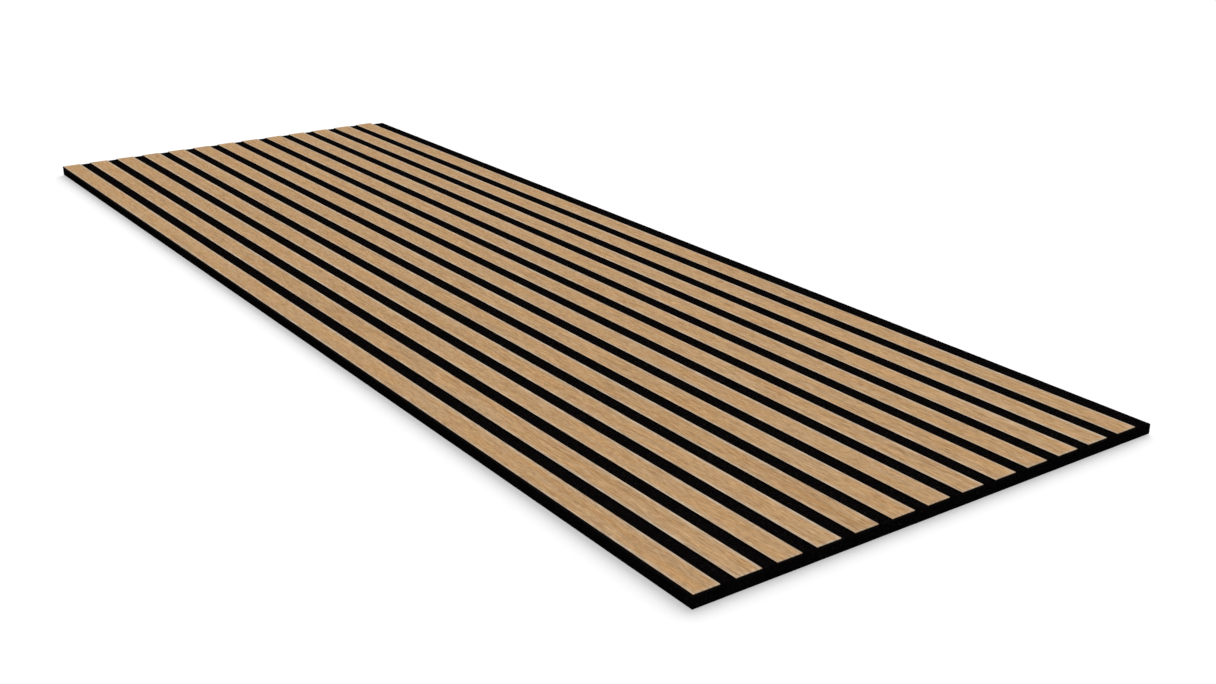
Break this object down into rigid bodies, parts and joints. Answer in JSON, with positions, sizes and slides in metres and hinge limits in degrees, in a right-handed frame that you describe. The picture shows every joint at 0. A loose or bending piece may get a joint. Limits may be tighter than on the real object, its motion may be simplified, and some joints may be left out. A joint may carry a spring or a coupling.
{
  "type": "slatted acoustic panel",
  "caption": "Sound-absorbing wall panel: straight oak-veneered slats glued in a row on a black felt board, flush along one long edge and with a bare felt lip along the other.",
  "frame": {"origin": "centre of the felt board's flat back face, which the panel lies on", "axes": "+X across the slats towards the bare felt lip, +Y along the slats, +Z out of the veneered face"},
  "size_m": [0.608, 1.735, 0.015],
  "materials": {
    "felt": "needled polyester felt board, black, matt",
    "slat_core": "black through-dyed fibreboard, matt",
    "oak_veneer": "straight-grained oak veneer, matt lacquer, edges lightly sanded"
  },
  "bodies": {
    "root": {"felt_backing": "felt", "slat_core_01": "slat_core", "slat_veneer_01": "oak_veneer", "slat_core_02": "slat_core", "slat_veneer_02": "oak_veneer", "slat_core_03": "slat_core", "slat_veneer_03": "oak_veneer", "slat_core_04": "slat_core", "slat_veneer_04": "oak_veneer", "slat_core_05": "slat_core", "slat_veneer_05": "oak_veneer", "slat_core_06": "slat_core", "slat_veneer_06": "oak_veneer", "slat_core_07": "slat_core", "slat_veneer_07": "oak_veneer", "slat_core_08": "slat_core", "slat_veneer_08": "oak_veneer", "slat_core_09": "slat_core", "slat_veneer_09": "oak_veneer", "slat_core_10": "slat_core", "slat_veneer_10": "oak_veneer", "slat_core_11": "slat_core", "slat_veneer_11": "oak_veneer", "slat_core_12": "slat_core", "slat_veneer_12": "oak_veneer", "slat_core_13": "slat_core", "slat_veneer_13": "oak_veneer"}
  },
  "joints": []
}
